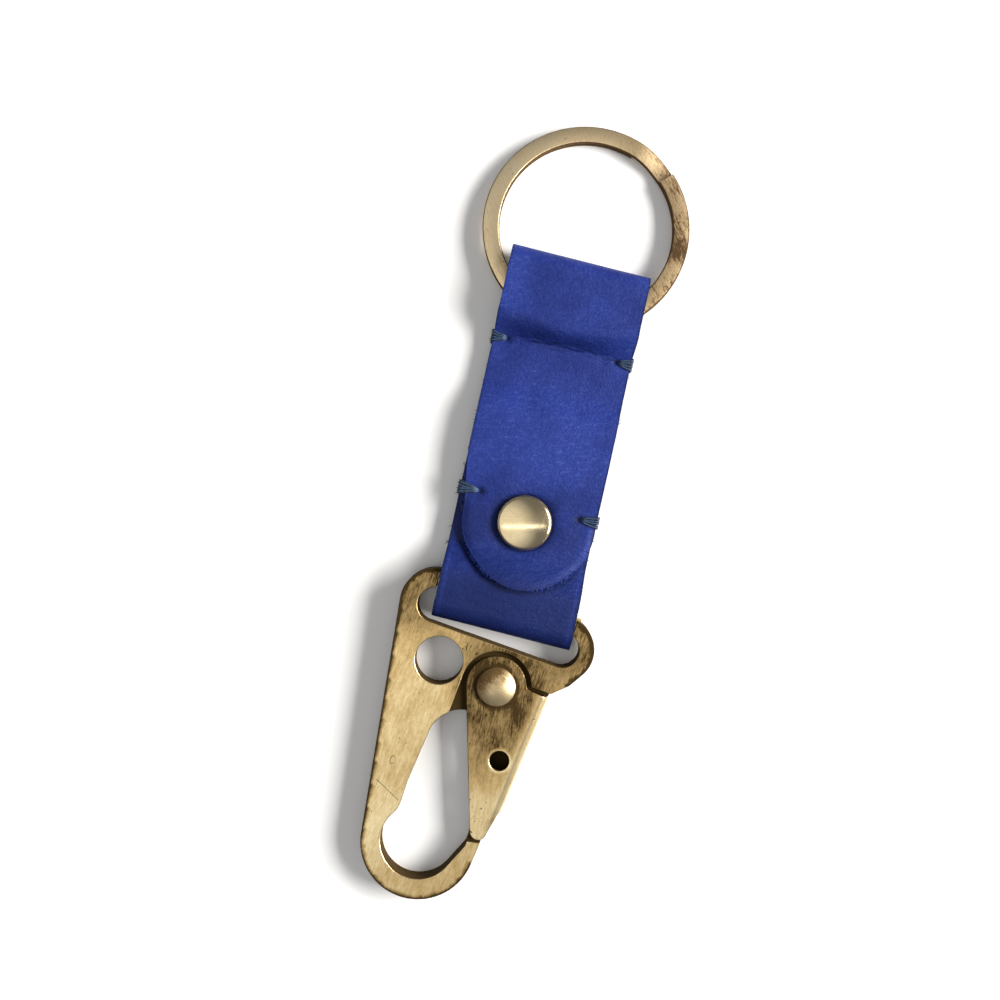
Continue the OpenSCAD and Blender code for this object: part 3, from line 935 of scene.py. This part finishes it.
def tongue_outline():
    """The thin part between the gate's cheeks, with the ledge that stops the gate's spine; painted in
    shade, the ledge also fills the gap under the shoulder.
    """
    right = arc(PIVOT, 5, -90, 15) + [Vector((12.55, -8.86)), Vector((12.75, -7.7))]
    left = arc(PIVOT, 6.6, 18, 180)
    window = arc((0.6, -22), 6, 131, 64)
    return right + left + window


def nose_outline():
    """The thin nose that the gate's tip closes over."""
    corners = [
        (6.2, -43.1, 0),
        (9.7, -41.6, 0),
        (9.95, -37.3, 0.5),
        (9.5, -34.2, 0.4),
        (9.0, -33.4, 0.3),
        (7.9, -33.4, 0.3),
        (7.4, -34.2, 0.4),
        (7.6, -38.9, 0),
    ]
    return rounded(corners)


def rod(start, end, half, flat):
    """A bar along x with a rounded square section."""
    sides = 24
    points = []
    for x in (start, start + 0.3, end - 0.3, end):
        for k in range(sides):
            a = TAU * (k + 0.5) / sides
            y = flat * math.copysign(1, math.cos(a)) + (half - flat) * math.cos(a)
            z = flat * math.copysign(1, math.sin(a)) + (half - flat) * math.sin(a)
            points.append((x, BAR_V + y, z))
    return points, capped(4, sides)


def hook_shade(points):
    """Painted shade with patina on the walls, along the outer edge and round the gate's head; painted
    shade over the tongue and nose, round the right lug and towards the top; darker on the left lug;
    and painted highlights on the rims and low on the bend.
    """
    x, y, z = points.T
    depth = PLATE_T / 2 - np.abs(z)
    # Painted shade, with patina, on the walls, and painted shade over the thin tongue and nose, which
    # sit below the plate's faces.
    wall = smooth(0.06, 0.22, depth)
    near_pivot = np.hypot(x - PIVOT.x, y - PIVOT.y)
    # Painted shade, with patina, in the recess round the gate's head.
    shade = 0.5 * bump(np.maximum(near_pivot - 6.3, 0), 2.6)
    # Painted shade round the right lug.
    shade += 0.36 * smooth(4, 12, x) * smooth(-13, -7, y)
    # Painted shade on the tongue, between the gate's cheeks.
    shade += 1.4 * (np.abs(z) < TONGUE_T / 2 + 0.02) * (y > -20)
    # Painted shade towards the top and to the right, and a little darker all over.
    shade += 0.42 * smooth(-12, 1, y) + 0.1 + 0.06 * smooth(-8, 4, x)
    # Painted highlight low on the bend's left.
    shade -= 0.3 * bump(y + 40, 6) * (x < 0)
    shade += 0.35 * smooth(9, 14, -x) * smooth(-12, -4, y)
    # Painted highlight on the shallow part of every rim's bevel.
    shade -= 0.7 * bump(depth - 0.03, 0.03)
    # Painted shade, with patina, on the steep outer part of the outer edge's bevel.
    for edge in (outer_left(), outer_right()):
        line = np.array(finer(edge, 0.2, closed=False))
        gap = np.array([np.hypot(*(line - p).T).min() for p in points[:, :2]])
        wall = np.maximum(wall, 0.75 - 0.75 * smooth(0.2, 0.62, gap))
    shade = shade * (1 - wall) + 1.5 * wall
    return np.clip(shade, -0.8, 1.5)


def hook_casting(material):
    """The plate with its slot, window and side hole, the thin tongue and nose, and the bar."""
    side_hole = circle((-8, -9.1), 4.3)
    parts = (
        ("hook_plate", casting_outline(), [side_hole], PLATE_T, 0.5),
        ("hook_tongue", tongue_outline(), [], TONGUE_T, 0.12),
        ("hook_nose", nose_outline(), [], TONGUE_T, 0.2),
    )
    for name, rim, holes, thickness, edge_round in parts:
        flat, triangles = filled(rim, holes, 0.7)
        points = [(*p, 0) for p in flat]
        piece = make(name, points, triangles, HOOK, material, "antique_brass")
        thicken(piece, thickness, edge_round, 5)
        tint(piece, hook_shade(coordinates(piece, HOOK)))
        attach(piece, "hook")
        if name == "hook_plate":
            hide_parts("hook_body")
    bar = make("hook_bar", *rod(-13.6, 13.6, 1.5, 0.3), HOOK, material, "antique_brass")
    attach(crisp(bar, 50), "hook")


def casting_marks(material):
    """The fine score across the spine and the small oval pip above it."""
    top = PLATE_T / 2 - 0.02
    score = tube([(-11.3, -33.0, top), (-9.0, -34.0, top), (-6.4, -35.2, top)], 0.06, 6)
    pip = [
        (-9.8 + 0.42 * math.cos(a), -28.7 + 0.75 * math.sin(a), top)
        for a in np.linspace(0, TAU, 25)
    ]
    points, faces = joined([score, tube(pip, 0.06, 6)])
    # Both marks are painted dark, as the shade in a fine groove.
    dark = [0.75] * len(points)
    marks = make("casting_marks", points, faces, HOOK, material, "antique_brass", dark)
    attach(marks, "hook")


# ---------------------------------------------------------------- gate

SPINE_TOP = Vector((12.66, -9.0))
SPINE_FOOT = Vector((11.7, -31.3))
FOLD_R = 1.2
HOLE = Vector((8.2, -22.5))


def spine_frame():
    """The spine's direction and the direction out from it."""
    along = (SPINE_TOP - SPINE_FOOT).normalized()
    return along, Vector((along.y, -along.x))


def gate_half_outline():
    """The front cheek from the spine's foot round the tip, up the left edge and over the head."""
    lean = 201
    tip = Vector((8.95, -35.8))
    outline = [SPINE_FOOT, Vector((11.25, -31.5)), Vector((10.45, -35.6))]
    outline += arc(tip, 1.5, -8, lean - 360)
    outline += arc(PIVOT, 5.4, lean, 21)
    outline += [Vector(p) for p in ((8.4, -8.4), (8.8, -8.75), (9.4, -8.85))]
    outline.append(SPINE_TOP)
    return outline


def unfolded_gate():
    """The gate's sheet laid flat: x out from the spine's foot, y up along it, and the back cheek
    mirrored beyond the fold."""
    along, out = spine_frame()

    def flat(point):
        return Vector(((point - SPINE_FOOT).dot(out), (point - SPINE_FOOT).dot(along)))

    half = [flat(p) for p in gate_half_outline()[1:-1]]
    half.append(Vector((-FOLD_R, (SPINE_TOP - SPINE_FOOT).length)))
    mirrored = [Vector((2 * FOLD_MIDDLE - p.x, p.y)) for p in reversed(half)]
    return filled(half + mirrored, [[flat(p) for p in circle(HOLE, 1.75, 40)]], 0.45)


# The fold's middle surface: a corner, a flat web and a second corner
CHEEK_Z = (GATE_T - SHEET_T) / 2
BEND_R = FOLD_R - SHEET_T / 2
BEND_L = BEND_R * math.pi / 2
FOLD_MIDDLE = -FOLD_R + BEND_L + CHEEK_Z - BEND_R


def fold(flat_x):
    """How far out from the spine's face and how high a point of the flat sheet lies when folded."""
    if flat_x > FOLD_MIDDLE:
        out, z = fold(2 * FOLD_MIDDLE - flat_x)
        return out, -z
    if flat_x < -FOLD_R:
        return flat_x, CHEEK_Z
    turn = min((flat_x + FOLD_R) / BEND_R, math.pi / 2)
    web = max(flat_x + FOLD_R - BEND_L, 0)
    return -FOLD_R + BEND_R * math.sin(turn), CHEEK_Z - BEND_R * (1 - math.cos(turn)) - web


def folded_gate(material):
    """The gate's sheet folded over at its spine, with a hole in its front cheek."""
    along, out = spine_frame()
    flat, triangles = unfolded_gate()
    points = []
    for p in flat:
        distance, z = fold(p.x)
        points.append((*(SPINE_FOOT + out * distance + along * p.y), z))
    gate = make("folded_gate", points, triangles, HOOK, material, "antique_brass")
    thicken(gate, SHEET_T, 0.2, 4)
    x, y, z = coordinates(gate, HOOK).T
    near_rivet = np.hypot(x - PIVOT.x, y - PIVOT.y)
    from_spine = SPINE_FOOT.x + 0.043 * (y - SPINE_FOOT.y) - x
    from_hole = np.hypot(x - HOLE.x, y - HOLE.y)
    shade = 0.72 * smooth(-30, -16, y) * smooth(0.3, 3.5, from_spine)
    # Painted shade round the rivet's dome.
    shade += 0.6 * bump(near_rivet - 3.6, 0.5)
    # Painted highlight along the fold.
    shade -= 0.6 * bump(from_spine - 1.0, 0.7) * smooth(-33, -30, y)
    shade -= 0.4 * (1 - smooth(-35, -26, y))
    # Painted highlight round the hole's rim.
    shade -= 0.8 * bump(from_hole - 1.95, 0.2)
    # Painted shade, with patina, along the cheeks' edges.
    edge = smooth(0.05, 0.17, GATE_T / 2 - np.abs(z)) * smooth(0.6, 0.9, from_spine)
    # Painted shade on the inner faces of the fold.
    hidden = (np.abs(z) < CHEEK_Z - 0.2) & (from_spine > 0.9)
    shade = np.clip(shade, -0.7, 1) * (1 - edge) + 1.3 * edge
    tint(gate, np.where(hidden, 1.4, shade))
    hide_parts("gate")
    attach(gate, "gate")


def torsion_spring(material):
    """Two turns round the pivot, one leg in the tongue and the other against the gate's spine."""
    first, last, radius, floor = math.radians(208), math.radians(950), 2.35, -0.15

    def at(a):
        rise = 0.42 * (a - first) / TAU
        return Vector((radius * math.cos(a), radius * math.sin(a), floor + rise))

    def ahead(a):
        return Vector((-math.sin(a), math.cos(a), 0))

    path = [at(first) - ahead(first) * d for d in (3.4, 1.5)]
    path += [at(a) for a in np.linspace(first, last, 75)]
    path += [at(last) + ahead(last) * d for d in (3, 6, 9, 12.3)]
    place = HOOK @ Matrix.Translation((*PIVOT, 0))
    spring = make("torsion_spring", *tube(path, 0.2, 10), place, material, "spring_steel")
    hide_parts("gate_spring")
    leg = ahead(last)
    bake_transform(spring)


# ---------------------------------------------------------------- table, light and camera


def table_top():
    table = bpy.data.meshes.new("table")
    table.from_pydata([(-1, -1, 0), (1, -1, 0), (1, 1, 0), (-1, 1, 0)], [], [(0, 1, 2, 3)])
    table.materials.append(table_material())
    floor = add_to_scene("table", table)


def studio_world():
    """Grey all round, with a broad soft light above and a little to the side."""
    world = bpy.data.worlds.new("studio")
    world.use_nodes = True
    nodes = world.node_tree.nodes
    links = world.node_tree.links
    from_light = nodes.new("ShaderNodeVectorMath")
    from_light.operation = "DISTANCE"
    from_light.inputs[1].default_value = (-0.33, -0.17, 0.93)
    fade = nodes.new("ShaderNodeValToRGB")
    fade.color_ramp.elements[0].position = 0.34
    fade.color_ramp.elements[0].color = (1, 0.99, 0.96, 1)
    fade.color_ramp.elements[1].position = 0.7
    fade.color_ramp.elements[1].color = (0.18, 0.18, 0.19, 1)
    links.new(nodes.new("ShaderNodeTexCoord").outputs["Generated"], from_light.inputs[0])
    links.new(from_light.outputs["Value"], fade.inputs["Fac"])
    links.new(fade.outputs["Color"], nodes["Background"].inputs["Color"])
    nodes["Background"].inputs["Strength"].default_value = 1.0
    bpy.context.scene.world = world
    bpy.context.scene.view_settings.view_transform = "Standard"


def studio_lamps():
    """A window low on the right, and a narrow tube overhead for the streak on the cap."""
    lamps = (
        ("window", (0.7, 0.19, 0.43), (0.62, 0.36), 18, (1.0, 0.98, 0.95)),
        ("tube", (0.02, -0.085, 0.8), (0.9, 0.03), 0.35, (1.0, 1.0, 1.0)),
    )
    for name, place, size, power, colour in lamps:
        light = bpy.data.lights.new(name, "AREA")
        light.shape = "RECTANGLE"
        light.size, light.size_y = size
        light.energy = power
        light.color = colour
        lamp = add_to_scene(name, light)
        lamp.location = place
        lamp.rotation_euler = (-Vector(place)).to_track_quat("-Z", "Y").to_euler()


def camera():
    """Straight above, turned so that the strap leans to the right."""
    lens = bpy.data.cameras.new("camera")
    lens.sensor_width = 36
    lens.angle = math.radians(50)
    cam = add_to_scene("camera", lens)
    cam.location = (-0.00465, 0.00171, 0.196)
    cam.rotation_euler = (0, 0, math.radians(12.4))
    bpy.context.scene.camera = cam


# ---------------------------------------------------------------- build

leather = leather_material()
thread = thread_material()
cap_brass = brass_material("cap_brass", RIVET_TONES, 0.13, 100, 0.1)
rivet_brass = brass_material("rivet_brass", RIVET_TONES, 0.34, 60, 0.4)
hook_brass = brass_material("hook_brass", HOOK_TONES, 0.3, -7.3)
gate_brass = brass_material("gate_brass", HOOK_TONES, 0.3, 4.4)
ring_brass = brass_material("ring_brass", RING_TONES, 0.3, 35, 1.3)

leather_strip(leather)
thread_tacks(thread)
edge_fibres(leather)
cap_rivet(cap_brass)
split_ring(ring_brass)
hook_casting(hook_brass)
casting_marks(hook_brass)
folded_gate(gate_brass)
pivot_rivet(rivet_brass)
torsion_spring(steel_material())
table_top()
studio_world()
studio_lamps()
camera()
